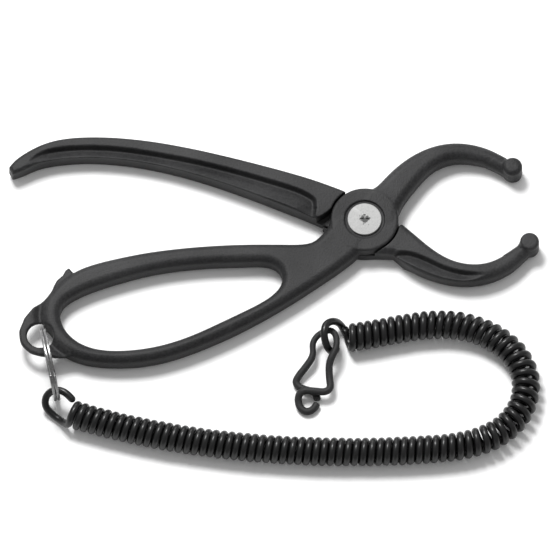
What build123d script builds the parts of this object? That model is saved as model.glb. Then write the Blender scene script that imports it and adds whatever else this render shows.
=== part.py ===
from build123d import *
import math
import os
from bisect import bisect_right

os.makedirs("parts", exist_ok=True)

# Gripper pliers with a coiled lanyard. Millimetres, +Z up.
# The origin is on the pivot axis, in the plane the tool rests on (the underside of both
# levers). Jaws point to +X, handles to -X. The front lever carries the +Y jaw and the
# loop handle, the rear lever the -Y jaw and the open handle.

# ---------------------------------------------------------------------------
# Dimensions
# ---------------------------------------------------------------------------
CUT_OVER = 1.0          # how far a cut runs past the face it opens

# Levers
LEVER_Z0 = 0.0          # underside of the levers, the resting plane
LEVER_T = 12.0          # full thickness of a lever
LEVER_Z1 = LEVER_Z0 + LEVER_T
LAP_Z = LEVER_Z0 + LEVER_T / 2   # the two half-thickness plates meet here
LAP_GAP = 0.10          # running gap between the two plates
EDGE_R = 3.0            # rounding of the loop handle and jaw bars
OPEN_HANDLE_EDGE_R = 1.8         # smaller on the rear handle, which narrows to its tip
BOSS_R = 15.5           # front lever's round boss
PLATE_R = 15.6          # rear lever's round plate under it
CHANNEL_D = 2.2         # depth of the channels in the rear lever's top face

# Half-lap reliefs: each lever is cut to clear the other through the whole swing
SHOULDER_R = 16.3       # concentric shoulders that clear the plates
OPEN_DEG = 38.0         # how far the rear lever opens from rest
CLOSE_DEG = 22.0        # how far it closes: knobs meet, handle reaches the catch
OVERTRAVEL_DEG = 0.6
REAR_SWING = (-OPEN_DEG - OVERTRAVEL_DEG, -22.0, -6.0, 8.0, CLOSE_DEG + OVERTRAVEL_DEG)
FRONT_SWING = tuple(-angle for angle in reversed(REAR_SWING))   # seen from the rear lever
REAR_SWEEP_R = 34.0     # outer limit of the relief in the front lever
FRONT_SWEEP_R = 26.5    # outer limit of the relief in the rear lever

# Jaw tips
KNOB_R = 4.6
FRONT_KNOB = (68.1, 26.5)
REAR_KNOB = (75.9, -10.6)
TIP_INSET = 1.0         # the tip is this much thinner than the lever, top and bottom

# Catch tooth and eyelet tab on the front lever
CATCH_INSET = 2.5       # the tooth stands this far inside the lever, top and bottom
TAB_Z0, TAB_Z1 = 8.5, 11.7
EYE = (-149.2, -57.2)
EYE_R = 6.2
TAB_R = 9.5

# Pivot: a binding post of two halves
PIVOT_GAP = 0.05        # running clearance, radial and at the ends
BARREL_R = 4.0
BORE_R = BARREL_R + PIVOT_GAP
HEAD_R = 7.8
HEAD_T = 1.2
HEAD_EDGE_R = 0.3
DISH_R = 9.3
DISH_D = 0.9
DISH_Z = LEVER_Z1 - DISH_D
REAR_HEAD_T = 1.3       # rear head, let into the underside of the rear lever
REAR_HEAD_CHAMFER = 0.6
REAR_RECESS_R = 8.2
BARREL_FLOOR = 0.3      # closed bottom of the barrel's bore
SHANK_R = 2.45
SHANK_BORE_R = SHANK_R + PIVOT_GAP
CROSS_L, CROSS_W, CROSS_D = 4.6, 1.1, 0.6

# Split ring: flat wire, two turns, standing on its edge
RING_R = 16.05          # mean radius
RING_RADIAL = 1.9
RING_AXIAL = 1.5        # one turn
RING_HALF_GAP = 0.04    # from the ring's mid-plane to each turn
RING_CENTRE = (-144.65, -74.3, 17.06)
RING_DIR = -79.05       # plan direction of the ring's plane, degrees
CROSSOVER_L = 6.0
CROSSOVER_RADIAL = RING_RADIAL * 0.8

# Coil lanyard. The close winding is a tube as thick as the coil; the cord itself shows
# at both ends. Places along it are counted in turns from the ring end.
TUBE_R = 6.65
TUBE_BORE_R = 3.0
CORD_R = 1.60
COIL_R = 4.90           # helix radius, cord centre
COIL_PITCH = 3.62       # pitch along the inside of the curve
COIL_Z = TUBE_R + 0.02
FIRST_TURN = 0.4        # the tube starts here
FLEX_A_TURN = 20.75     # first flex point
FLEX_B_TURN = 66.75     # second flex point
LAST_TURN = 84.75       # the close winding ends here and the open end turn starts
TUBE_END_TURN = LAST_TURN - 0.2
FLEX_GAP = 1.0          # gap left in the coil at each flex point
AXIS_SAMPLES = 3000
POINTS_PER_TURN = 8     # cord spline points on the helix

# The open end turn that holds the clip
END_CENTRE = (-15.4, -56.7, 7.5)
END_SIDE = (0.02, -0.955, -0.29)
END_UP = (-0.5, -0.09, 0.86)
END_R_SIDE, END_R_UP = 6.6, 6.3
END_BLEND_TURNS = 0.4   # the helix has become the end turn after this much
END_DRIFT = 3.6         # advance per turn while it still follows the helix
END_TURNS = 0.88
END_POINTS = 10

# Snap clip, bent from one wire
CLIP_R = 1.4

# ---------------------------------------------------------------------------
# Plan outlines, (x, y)
# ---------------------------------------------------------------------------
FRONT_JAW_OUTER = [
    (65.05, 31.94), (59.93, 35.0), (54.3, 37.23), (48.32, 38.55), (42.2, 38.92),
    (36.15, 38.32), (30.36, 36.77), (24.75, 34.24), (19.17, 30.66), (13.77, 26.12),
    (8.68, 20.73), (5.98, 17.85), (3.9, 16.35), (1.2, 15.45)]
FRONT_JAW_INNER = [
    (15.2, -2.2), (15.45, 1.66), (16.0, 5.09), (18.04, 9.74), (23.1, 16.98),
    (28.16, 23.16), (32.6, 26.97), (37.14, 29.29), (41.89, 30.39), (47.43, 30.24),
    (54.65, 28.78), (60.03, 26.7), (63.13, 24.43)]
REAR_HANDLE_TOP = [
    (-9.46, 14.56), (-21.57, 19.37), (-34.47, 23.63), (-48.09, 27.58), (-62.0, 31.35),
    (-75.67, 34.74), (-89.15, 37.59), (-102.4, 39.74), (-115.34, 41.0), (-127.97, 41.23),
    (-139.09, 40.22), (-148.28, 37.67), (-156.73, 33.17), (-161.4, 29.4), (-163.6, 26.6)]
REAR_HANDLE_BOTTOM = [
    (-161.9, 23.2), (-159.67, 23.86), (-150.86, 27.97), (-140.83, 30.48), (-129.57, 31.44),
    (-117.27, 31.05), (-104.71, 29.5), (-92.03, 26.89), (-79.26, 23.36), (-66.37, 19.01),
    (-53.32, 14.02), (-40.03, 8.55), (-26.5, 2.85)]
REAR_JAW_OUTER = [
    (13.06, -16.6), (20.62, -22.3), (27.66, -25.97), (34.67, -28.42), (41.48, -29.81),
    (48.01, -30.11), (54.35, -29.34), (60.34, -27.53), (65.77, -24.78), (70.49, -21.17),
    (74.41, -16.77)]
REAR_JAW_INNER = [
    (70.94, -11.06), (64.44, -16.06), (59.54, -18.98), (55.23, -20.51), (50.59, -21.1),
    (45.71, -20.72), (40.87, -19.37), (35.91, -16.91), (30.58, -13.14), (24.54, -7.83),
    (17.97, -1.94)]
LOOP_OUTER = [
    (-15.4, 1.6), (-17.0, -2.9), (-20.4, -7.4), (-23.8, -10.2), (-28.0, -11.3),
    (-34.84, -11.52), (-46.26, -11.44), (-57.43, -11.57), (-68.61, -12.08), (-79.8, -12.96),
    (-90.88, -14.2), (-101.57, -15.85), (-111.84, -18.02), (-121.99, -20.6), (-130.3, -23.6),
    (-137.0, -27.6), (-142.6, -32.8), (-146.6, -39.0), (-148.0, -46.0), (-146.9, -53.4),
    (-143.2, -60.2), (-137.0, -65.6), (-128.3, -69.1), (-116.69, -70.5), (-103.0, -70.0),
    (-89.56, -67.17), (-75.08, -61.83), (-60.52, -55.01), (-46.2, -47.03), (-32.09, -38.06),
    (-18.12, -28.28), (-6.8, -19.6), (-2.2, -15.4)]
LOOP_INNER = [
    (-37.86, -27.71), (-38.94, -24.41), (-41.01, -22.16), (-44.72, -20.68), (-53.17, -20.41),
    (-66.63, -20.88), (-79.48, -21.8), (-91.62, -23.42), (-103.4, -25.97), (-115.28, -29.5),
    (-126.66, -33.68), (-134.84, -37.99), (-138.62, -41.42), (-139.88, -44.36),
    (-139.75, -48.67), (-137.7, -53.81), (-133.79, -58.32), (-128.11, -61.78),
    (-120.88, -63.72), (-111.25, -64.08), (-100.53, -62.95), (-89.91, -60.41),
    (-79.35, -56.47), (-68.02, -51.05), (-55.85, -44.83), (-46.24, -39.43), (-40.5, -34.65),
    (-38.24, -30.94)]
# the arms' ends that run into the knobs
FRONT_TIP = [
    (58.0, 34.6), (65.05, 31.6), (69.6, 30.4), (68.1, 26.5), (66.4, 22.6), (63.13, 24.8),
    (58.0, 28.2)]
REAR_TIP = [
    (70.0, -20.6), (74.2, -17.0), (79.2, -13.2), (75.9, -10.6), (73.0, -7.2),
    (70.94, -11.3), (66.0, -15.8)]
CATCH_TOOTH = [
    (-131.5, -27.0), (-134.4, -26.0), (-134.46, -24.9), (-136.0, -23.0), (-137.6, -24.4),
    (-138.6, -26.6), (-141.4, -29.2), (-142.9, -32.4), (-143.8, -36.6), (-140.0, -38.0),
    (-132.0, -31.0)]
TAB_WEB = [
    (-143.6, -35.6), (-147.6, -39.4), (-152.6, -43.4), (-156.6, -48.6), (-158.9, -55.0),
    (-157.6, -61.0), (-153.4, -64.9), (-148.6, -66.6), (-143.0, -67.9), (-137.6, -68.1),
    (-134.0, -67.2), (-138.0, -61.0), (-143.0, -52.0), (-143.5, -43.0)]
# channel rims in the top face, and the corners outside the bar that close each cut
HANDLE_CHANNEL_RIM = [
    (-158.0, 27.0), (-152.0, 32.2), (-144.0, 35.3), (-134.0, 36.6), (-122.0, 36.7),
    (-107.0, 35.3), (-91.4, 32.6), (-78.0, 29.8), (-65.1, 26.5), (-52.0, 22.7),
    (-40.0, 18.9), (-29.5, 15.1), (-24.4, 12.2), (-21.8, 9.2), (-22.0, 6.8)]
HANDLE_CHANNEL_OPEN = [(-26.0, -4.0), (-100.0, 10.0), (-160.0, 18.0)]
JAW_CHANNEL_RIM = [
    (12.6, -16.4), (16.3, -15.6), (20.0, -15.7), (25.0, -17.2), (31.0, -20.0),
    (37.0, -22.9), (43.9, -25.0), (53.0, -25.6)]
JAW_CHANNEL_OPEN = [(53.0, -40.0), (10.0, -30.0)]
# coil axis in plan, ring end first
LANYARD_AXIS = [
    (-134.6, -94.55), (-121.58, -98.51), (-108.41, -101.95), (-95.12, -104.9),
    (-81.74, -107.36), (-68.28, -109.37), (-54.76, -110.95), (-41.2, -112.11),
    (-27.61, -112.88), (-14.01, -113.28), (-0.4, -113.32), (13.21, -112.98),
    (26.8, -112.24), (40.34, -110.97), (53.53, -107.71), (65.19, -100.84), (72.72, -89.68),
    (73.91, -76.27), (68.08, -64.15), (57.54, -55.67), (44.78, -51.08), (31.23, -50.33),
    (17.74, -52.07), (4.4, -54.77), (-9.01, -57.08)]

# ---------------------------------------------------------------------------
# Wire and cord centres, (x, y, z)
# ---------------------------------------------------------------------------
# the cord's eye that holds the ring, free end first
CORD_EYE = [
    (-134.6, -88.9, 11.2), (-138.2, -85.7, 11.7), (-142.6, -84.4, 10.5),
    (-146.1, -85.9, 7.9), (-146.7, -89.4, 4.7), (-143.9, -92.6, 2.3), (-139.8, -96.0, 2.3)]
# the snap clip, from the tip of its fixed hook, round the frame, to the arch
CLIP_FRAME = [
    (-22.08, -87.83, 1.6), (-23.92, -90.31, 1.6), (-26.77, -91.21, 1.6),
    (-29.53, -89.3, 1.8), (-30.54, -85.96, 2.6), (-29.81, -83.41, 3.9),
    (-27.78, -82.29, 4.7), (-25.12, -82.28, 4.8), (-21.44, -82.68, 4.8),
    (-18.49, -82.6, 4.85), (-16.56, -81.07, 5), (-16.05, -77.91, 5.4),
    (-16.28, -73.64, 6.5), (-16.01, -69.61, 8.2), (-14.54, -66.13, 9.4),
    (-13.06, -62.35, 9.5), (-12.88, -58.73, 8.9), (-13.71, -55.25, 7.9),
    (-15.55, -53.34, 7.1), (-17.57, -53.27, 6.8)]
# and from the arch down the springy leg to the tip of its own hook
CLIP_GATE = [
    (-18.4, -53.67, 6.7), (-20.24, -54.62, 6.6), (-22.63, -56.89, 6.3),
    (-23.83, -59.9, 5.9), (-23.74, -63.27, 5.4), (-24.66, -66.69, 4.9),
    (-26.22, -69.07, 4.4), (-28.15, -71.51, 3.7), (-30.36, -74.48, 2.7),
    (-31, -76.74, 1.9), (-29.62, -79.2, 1.6), (-26.73, -80.49, 1.6),
    (-24.01, -81.38, 1.6), (-22.36, -82.77, 1.6), (-22.08, -84.26, 1.6)]


# ---------------------------------------------------------------------------
# Plans shared by the bars and the reliefs
# ---------------------------------------------------------------------------
def bar_plan(sides, tip, root):
    """Plan of a bar: two splined sides, a straight tip and a root inside the hub."""
    with BuildSketch() as plan:
        with BuildLine():
            for side in sides:
                Spline(*side)
            Line(*tip)
            Polyline(*root)
        make_face()
    return plan.sketch


def loop_plan():
    """Plan of the front lever's loop handle, with its opening."""
    with BuildSketch() as plan:
        with BuildLine():
            Spline(*LOOP_OUTER)
            Polyline(LOOP_OUTER[-1], (3, -4), (-4, 6), LOOP_OUTER[0])
        make_face()
        with BuildLine():
            Spline(*LOOP_INNER, periodic=True)
        make_face(mode=Mode.SUBTRACT)
    return plan.sketch


def swept_area(plans, angles, reach):
    """Area near the pivot that a lever's plans cover as they turn through the angles."""
    with BuildSketch() as area:
        for angle in angles:
            for plan in plans:
                add(plan.rotate(Axis.Z, angle))
        Circle(SHOULDER_R)
        Circle(reach, mode=Mode.INTERSECT)
    return area.sketch


front_jaw_plan = bar_plan(
    sides=(FRONT_JAW_OUTER, FRONT_JAW_INNER),
    tip=(FRONT_JAW_INNER[-1], FRONT_JAW_OUTER[0]),
    root=(FRONT_JAW_OUTER[-1], (-4, 8), (4, -6), FRONT_JAW_INNER[0]))
front_loop_plan = loop_plan()
rear_handle_plan = bar_plan(
    sides=(REAR_HANDLE_TOP, REAR_HANDLE_BOTTOM),
    tip=(REAR_HANDLE_TOP[-1], REAR_HANDLE_BOTTOM[0]),
    root=(REAR_HANDLE_BOTTOM[-1], (-19.6, -0.4), (-6, -6), (4, 4), REAR_HANDLE_TOP[0]))
rear_jaw_plan = bar_plan(
    sides=(REAR_JAW_OUTER, REAR_JAW_INNER),
    tip=(REAR_JAW_OUTER[-1], REAR_JAW_INNER[0]),
    root=(REAR_JAW_INNER[-1], (6, 4), (-6, -6), (-3.5, -15.2), REAR_JAW_OUTER[0]))


# ---------------------------------------------------------------------------
# Levers
# ---------------------------------------------------------------------------
def rounded_bar(plan, min_length, radius):
    """Full-thickness bar; its top and bottom edges longer than min_length are rounded.

    Each bar is rounded on its own, before the levers are put together.
    """
    with BuildPart() as bar:
        with BuildSketch(Plane.XY.offset(LEVER_Z0)):
            add(plan)
        extrude(amount=LEVER_T)
        outline = [e for e in bar.edges()
                   if min(abs(e.center().Z - z) for z in (LEVER_Z0, LEVER_Z1)) < 1e-4]
        fillet([e for e in outline if e.length > min_length], radius)
    return bar.part


def make_front_lever():
    """+Y jaw, boss, loop handle, catch tooth and eyelet."""
    jaw_bar = rounded_bar(front_jaw_plan, min_length=30, radius=EDGE_R)
    loop_bar = rounded_bar(front_loop_plan, min_length=60, radius=EDGE_R)
    rear_sweep = swept_area((rear_handle_plan, rear_jaw_plan), REAR_SWING, REAR_SWEEP_R)
    with BuildPart() as lever:
        add(jaw_bar)
        add(loop_bar)
        with BuildSketch(Plane.XY.offset(LAP_Z)):
            Circle(BOSS_R)
        extrude(amount=LEVER_T / 2)
        # knob and jaw tip
        with BuildSketch(Plane.XY.offset(LEVER_Z0)):
            with Locations(FRONT_KNOB):
                Circle(KNOB_R)
        extrude(amount=LEVER_T)
        with BuildSketch(Plane.XY.offset(LEVER_Z0 + TIP_INSET)):
            with BuildLine():
                Polyline(*FRONT_TIP, close=True)
            make_face()
        extrude(amount=LEVER_T - 2 * TIP_INSET)
        # eyelet tab and its web
        with BuildSketch(Plane.XY.offset(TAB_Z0)):
            with BuildLine():
                Polyline(*TAB_WEB, close=True)
            make_face()
            with Locations(EYE):
                Circle(TAB_R)
        extrude(amount=TAB_Z1 - TAB_Z0)
        # catch tooth
        with BuildSketch(Plane.XY.offset(LEVER_Z0 + CATCH_INSET)):
            with BuildLine():
                Polyline(*CATCH_TOOTH, close=True)
            make_face()
        extrude(amount=LEVER_T - 2 * CATCH_INSET)
        # eyelet hole
        with BuildSketch(Plane.XY.offset(TAB_Z0 - CUT_OVER)):
            with Locations(EYE):
                Circle(EYE_R)
        extrude(amount=LEVER_T, mode=Mode.SUBTRACT)
        # half lap: the underside is cut away wherever the rear lever turns
        with BuildSketch(Plane.XY.offset(LEVER_Z0 - CUT_OVER)):
            add(rear_sweep)
        extrude(amount=LAP_Z + LAP_GAP / 2 - LEVER_Z0 + CUT_OVER, mode=Mode.SUBTRACT)
        # dish for the pivot head, and the pivot bore
        with BuildSketch(Plane.XY.offset(DISH_Z)):
            Circle(DISH_R)
        extrude(amount=DISH_D + CUT_OVER, mode=Mode.SUBTRACT)
        with BuildSketch(Plane.XY.offset(LAP_Z - CUT_OVER)):
            Circle(BORE_R)
        extrude(amount=LEVER_T, mode=Mode.SUBTRACT)
    return lever.part


def make_rear_lever():
    """-Y jaw, pivot plate and open handle."""
    handle_bar = rounded_bar(rear_handle_plan, min_length=60, radius=OPEN_HANDLE_EDGE_R)
    jaw_bar = rounded_bar(rear_jaw_plan, min_length=30, radius=EDGE_R)
    front_sweep = swept_area((front_loop_plan, front_jaw_plan), FRONT_SWING, FRONT_SWEEP_R)
    with BuildPart() as lever:
        add(handle_bar)
        add(jaw_bar)
        with BuildSketch(Plane.XY.offset(LEVER_Z0)):
            Circle(PLATE_R)
        extrude(amount=LEVER_T / 2)
        # knob and jaw tip
        with BuildSketch(Plane.XY.offset(LEVER_Z0)):
            with Locations(REAR_KNOB):
                Circle(KNOB_R)
        extrude(amount=LEVER_T)
        with BuildSketch(Plane.XY.offset(LEVER_Z0 + TIP_INSET)):
            with BuildLine():
                Polyline(*REAR_TIP, close=True)
            make_face()
        extrude(amount=LEVER_T - 2 * TIP_INSET)
        # half lap: the top half is cut away wherever the front lever turns
        with BuildSketch(Plane.XY.offset(LAP_Z - LAP_GAP / 2)):
            add(front_sweep)
        extrude(amount=LEVER_T, mode=Mode.SUBTRACT)
        # channels, open to the inner edge of the handle and the outer edge of the jaw
        for rim, open_side in ((HANDLE_CHANNEL_RIM, HANDLE_CHANNEL_OPEN),
                               (JAW_CHANNEL_RIM, JAW_CHANNEL_OPEN)):
            with BuildSketch(Plane.XY.offset(LEVER_Z1 - CHANNEL_D)):
                with BuildLine():
                    Spline(*rim)
                    Polyline(rim[-1], *open_side, rim[0])
                make_face()
            extrude(amount=CHANNEL_D + CUT_OVER, mode=Mode.SUBTRACT)
        # pivot bore, and the recess for the pivot's rear head
        with BuildSketch(Plane.XY.offset(LEVER_Z0 - CUT_OVER)):
            Circle(BORE_R)
        extrude(amount=LEVER_T + 2 * CUT_OVER, mode=Mode.SUBTRACT)
        with BuildSketch(Plane.XY.offset(LEVER_Z0 - CUT_OVER)):
            Circle(REAR_RECESS_R)
        extrude(amount=REAR_HEAD_T + PIVOT_GAP + CUT_OVER, mode=Mode.SUBTRACT)
    return lever.part


# ---------------------------------------------------------------------------
# Pivot
# ---------------------------------------------------------------------------
def make_pivot_barrel():
    """Barrel with the rear head at its foot and a blind bore from the top."""
    with BuildPart() as barrel:
        with BuildSketch(Plane.XY):
            Circle(HEAD_R)
        extrude(amount=REAR_HEAD_T)
        chamfer(barrel.edges().group_by(Axis.Z)[0], REAR_HEAD_CHAMFER)
        with BuildSketch(Plane.XY.offset(REAR_HEAD_T)):
            Circle(BARREL_R)
        extrude(amount=DISH_Z - PIVOT_GAP - REAR_HEAD_T)
        with BuildSketch(Plane.XY.offset(BARREL_FLOOR)):
            Circle(SHANK_BORE_R)
        extrude(amount=LEVER_T + CUT_OVER, mode=Mode.SUBTRACT)
    return barrel.part


def make_pivot_screw():
    """Flat-headed screw with a small cross; its head sits in the front lever's dish."""
    with BuildPart() as screw:
        with BuildSketch(Plane.XY.offset(DISH_Z)):
            Circle(HEAD_R)
        extrude(amount=HEAD_T)
        fillet(screw.edges().group_by(Axis.Z)[-1], HEAD_EDGE_R)
        with BuildSketch(Plane.XY.offset(REAR_HEAD_T)):
            Circle(SHANK_R)
        extrude(amount=DISH_Z - REAR_HEAD_T)
        with BuildSketch(Plane.XY.offset(DISH_Z + HEAD_T - CROSS_D)):
            Rectangle(CROSS_L, CROSS_W)
            Rectangle(CROSS_W, CROSS_L)
        extrude(amount=CROSS_D + CUT_OVER, mode=Mode.SUBTRACT)
    return screw.part


# ---------------------------------------------------------------------------
# Split ring
# ---------------------------------------------------------------------------
def make_split_ring():
    """Two flat turns side by side, through the eyelet, joined at the top."""
    dir_x = math.cos(math.radians(RING_DIR))
    dir_y = math.sin(math.radians(RING_DIR))
    mid_plane = Plane(origin=RING_CENTRE, x_dir=(dir_x, dir_y, 0.0), z_dir=(dir_y, -dir_x, 0.0))
    with BuildPart() as ring:
        for side in (-1, 1):
            turn_middle = side * (RING_AXIAL / 2 + RING_HALF_GAP)
            with BuildSketch(mid_plane.offset(turn_middle - RING_AXIAL / 2)):
                Circle(RING_R + RING_RADIAL / 2)
                Circle(RING_R - RING_RADIAL / 2, mode=Mode.SUBTRACT)
            extrude(amount=RING_AXIAL)
        # the crossover that joins the two turns
        with BuildSketch(mid_plane.offset(-RING_AXIAL)):
            with Locations((0, RING_R)):
                Rectangle(CROSSOVER_L, CROSSOVER_RADIAL)
        extrude(amount=2 * RING_AXIAL)
    return ring.part


# ---------------------------------------------------------------------------
# Coil lanyard: one cord wound left-handed along a curved axis
# ---------------------------------------------------------------------------
with BuildLine(Plane.XY) as lanyard_axis:
    Spline(*LANYARD_AXIS)
axis_edge = lanyard_axis.edges()[0]
axis_pts = [axis_edge.position_at(i / AXIS_SAMPLES) for i in range(AXIS_SAMPLES + 1)]
axis_tan = [axis_edge.tangent_at(i / AXIS_SAMPLES) for i in range(AXIS_SAMPLES + 1)]

# turns wound up to each sample; in a left bend the pitch is kept along the inside
turn_at = [0.0]
for i in range(AXIS_SAMPLES):
    here, ahead = axis_tan[i], axis_tan[i + 1]
    step = (axis_pts[i + 1] - axis_pts[i]).length
    bend = math.atan2(here.X * ahead.Y - here.Y * ahead.X, here.X * ahead.X + here.Y * ahead.Y)
    turn_at.append(turn_at[-1] + (step - max(bend, 0.0) * COIL_R) / COIL_PITCH)


def coil_angle(turn):
    """Angle round the axis, from its left. Whole turns are on the outside of the bend."""
    return math.pi - 2 * math.pi * turn


def coil_point(turn):
    """Cord centre after that many turns from the ring end."""
    lo = min(max(bisect_right(turn_at, turn) - 1, 0), AXIS_SAMPLES - 1)
    f = (turn - turn_at[lo]) / (turn_at[lo + 1] - turn_at[lo])
    centre = axis_pts[lo] + (axis_pts[lo + 1] - axis_pts[lo]) * f
    tangent = (axis_tan[lo] + (axis_tan[lo + 1] - axis_tan[lo]) * f).normalized()
    left = Vector(-tangent.Y, tangent.X, 0)
    angle = coil_angle(turn)
    return (centre + left * (COIL_R * math.cos(angle))
            + Vector(0, 0, COIL_Z + COIL_R * math.sin(angle)))


def coil_axis_point(turn):
    """Point on the coil's axis, from the cord there and half a turn to either side."""
    cord = coil_point(turn)
    along = coil_point(turn + 0.5) - coil_point(turn - 0.5)
    heading = Vector(along.X, along.Y, 0).normalized()
    left = Vector(-heading.Y, heading.X, 0)
    return Vector(cord.X, cord.Y, COIL_Z) - left * (COIL_R * math.cos(coil_angle(turn)))


def tube_run(first, last, count):
    """Section of close winding between two turns, as (points, radius, bore radius)."""
    points = [coil_axis_point(first + (last - first) * i / count) for i in range(count + 1)]
    return points, TUBE_R, TUBE_BORE_R


def blended(start, end, blend):
    """Unit vector between two directions."""
    return (Vector(*start) * (1 - blend) + Vector(*end) * blend).normalized()


def end_point(turns):
    """Cord centre on the open end turn, that many turns after the close winding ends."""
    blend = min(max(turns / END_BLEND_TURNS, 0.0), 1.0)
    blend = blend * blend * (3 - 2 * blend)
    start = coil_point(LAST_TURN)
    heading = (start - coil_point(LAST_TURN - 1)).normalized()
    helix_centre = Vector(start.X, start.Y, COIL_Z) + heading * (turns * END_DRIFT * (1 - blend))
    centre = helix_centre * (1 - blend) + Vector(*END_CENTRE) * blend
    side = blended((-heading.Y, heading.X, 0), END_SIDE, blend)
    up = blended((0, 0, 1), END_UP, blend)
    angle = coil_angle(LAST_TURN + turns)
    return (centre + side * (math.cos(angle) * (COIL_R * (1 - blend) + END_R_SIDE * blend))
            + up * (math.sin(angle) * (COIL_R * (1 - blend) + END_R_UP * blend)))


def swept_rounds(*runs):
    """Round sections swept along splines and joined; a run is (points, radius, bore radius)."""
    with BuildPart() as piece:
        for points, radius, bore_radius in runs:
            with BuildLine() as path:
                Spline(*points)
            with BuildSketch(Plane(origin=path.line @ 0, z_dir=path.line % 0)):
                Circle(radius)
                if bore_radius:
                    Circle(bore_radius, mode=Mode.SUBTRACT)
            sweep(path=path.line)
    return piece.part


half_gap = FLEX_GAP / 2 / COIL_PITCH    # in turns
near_tube = tube_run(FIRST_TURN, FLEX_A_TURN - half_gap, count=6)
middle_tube = tube_run(FLEX_A_TURN + half_gap, FLEX_B_TURN - half_gap, count=22)
far_tube = tube_run(FLEX_B_TURN + half_gap, TUBE_END_TURN, count=6)

# each cord end overlaps the tube by part of a turn of helix
eye_cord = [Vector(*p) for p in CORD_EYE] + [coil_point(i / POINTS_PER_TURN) for i in range(6)]
end_cord = [coil_point(LAST_TURN - 0.75 + i / POINTS_PER_TURN) for i in range(7)]
end_cord += [end_point(END_TURNS * i / END_POINTS) for i in range(1, END_POINTS + 1)]

# ---------------------------------------------------------------------------
# Pieces, one file each
# ---------------------------------------------------------------------------
pieces = {
    "front_lever": make_front_lever(),
    "rear_lever": make_rear_lever(),
    "pivot_barrel": make_pivot_barrel(),
    "pivot_screw": make_pivot_screw(),
    "split_ring": make_split_ring(),
    "coil_ring_end": swept_rounds(near_tube, (eye_cord, CORD_R, 0)),
    "coil_middle": swept_rounds(middle_tube),
    "coil_clip_end": swept_rounds(far_tube, (end_cord, CORD_R, 0)),
    "clip_frame": swept_rounds((CLIP_FRAME, CLIP_R, 0)),
    "clip_gate": swept_rounds((CLIP_GATE, CLIP_R, 0)),
}
for name, part in pieces.items():
    part.label = name
    export_step(part, f"parts/{name}.step")
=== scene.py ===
"""A hand tool of two crossed levers, with a split ring, a coiled lanyard and a wire clip.

It lies flat on the floor with its pivot on the Z axis: the jaws point to +X, the handles to -X.
The front lever has its jaw on the +Y side and a closed handle loop on the -Y side; the rear
lever has them the other way round. Shapes are in mm, and become metres as meshes are made.
"""
import math

import bpy
import numpy as np
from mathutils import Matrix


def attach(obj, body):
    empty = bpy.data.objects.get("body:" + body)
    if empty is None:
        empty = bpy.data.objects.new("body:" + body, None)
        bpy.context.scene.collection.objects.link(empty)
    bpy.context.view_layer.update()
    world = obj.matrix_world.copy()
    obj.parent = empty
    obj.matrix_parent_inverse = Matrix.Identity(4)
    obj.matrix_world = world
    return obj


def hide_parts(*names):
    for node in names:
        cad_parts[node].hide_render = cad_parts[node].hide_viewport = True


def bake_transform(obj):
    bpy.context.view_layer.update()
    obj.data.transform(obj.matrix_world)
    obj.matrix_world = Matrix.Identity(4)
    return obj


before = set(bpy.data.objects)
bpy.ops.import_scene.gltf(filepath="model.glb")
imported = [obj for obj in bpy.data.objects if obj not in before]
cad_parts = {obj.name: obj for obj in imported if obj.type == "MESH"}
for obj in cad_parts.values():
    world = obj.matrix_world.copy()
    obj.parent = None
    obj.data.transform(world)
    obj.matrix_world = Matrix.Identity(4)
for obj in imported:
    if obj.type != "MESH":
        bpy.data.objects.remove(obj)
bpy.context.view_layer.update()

import openvdb as vdb
from mathutils import Vector

scene = bpy.context.scene

MM = 0.001

# ---------------------------------------------------------------------------
# Plan outlines: x, y in mm
# ---------------------------------------------------------------------------
FRONT_JAW_OUTER = [
    (65.05, 31.94), (59.93, 35.0), (54.3, 37.23), (48.32, 38.55), (42.2, 38.92), (36.15, 38.32),
    (30.36, 36.77), (24.75, 34.24), (19.17, 30.66), (13.77, 26.12), (8.68, 20.73), (5.98, 17.85),
    (3.9, 16.35), (1.2, 15.45)]
FRONT_JAW_INNER = [
    (15.2, -2.2), (15.45, 1.66), (16.0, 5.09), (18.04, 9.74), (23.1, 16.98), (28.16, 23.16),
    (32.6, 26.97), (37.14, 29.29), (41.89, 30.39), (47.43, 30.24), (54.65, 28.78), (60.03, 26.7),
    (63.13, 24.43)]
REAR_HANDLE_TOP = [  # the +Y edge
    (-9.46, 14.56), (-21.57, 19.37), (-34.47, 23.63), (-48.09, 27.58), (-62.0, 31.35),
    (-75.67, 34.74), (-89.15, 37.59), (-102.4, 39.74), (-115.34, 41.0), (-127.97, 41.23),
    (-139.09, 40.22), (-148.28, 37.67), (-156.73, 33.17), (-161.4, 29.4), (-163.6, 26.6)]
REAR_HANDLE_BOTTOM = [  # the -Y edge
    (-161.9, 23.2), (-159.67, 23.86), (-150.86, 27.97), (-140.83, 30.48), (-129.57, 31.44),
    (-117.27, 31.05), (-104.71, 29.5), (-92.03, 26.89), (-79.26, 23.36), (-66.37, 19.01),
    (-53.32, 14.02), (-40.03, 8.55), (-26.5, 2.85)]
REAR_JAW_OUTER = [
    (13.06, -16.6), (20.62, -22.3), (27.66, -25.97), (34.67, -28.42), (41.48, -29.81),
    (48.01, -30.11), (54.35, -29.34), (60.34, -27.53), (65.77, -24.78), (70.49, -21.17),
    (74.41, -16.77)]
REAR_JAW_INNER = [
    (70.94, -11.06), (64.44, -16.06), (59.54, -18.98), (55.23, -20.51), (50.59, -21.1),
    (45.71, -20.72), (40.87, -19.37), (35.91, -16.91), (30.58, -13.14), (24.54, -7.83),
    (17.97, -1.94)]
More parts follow.
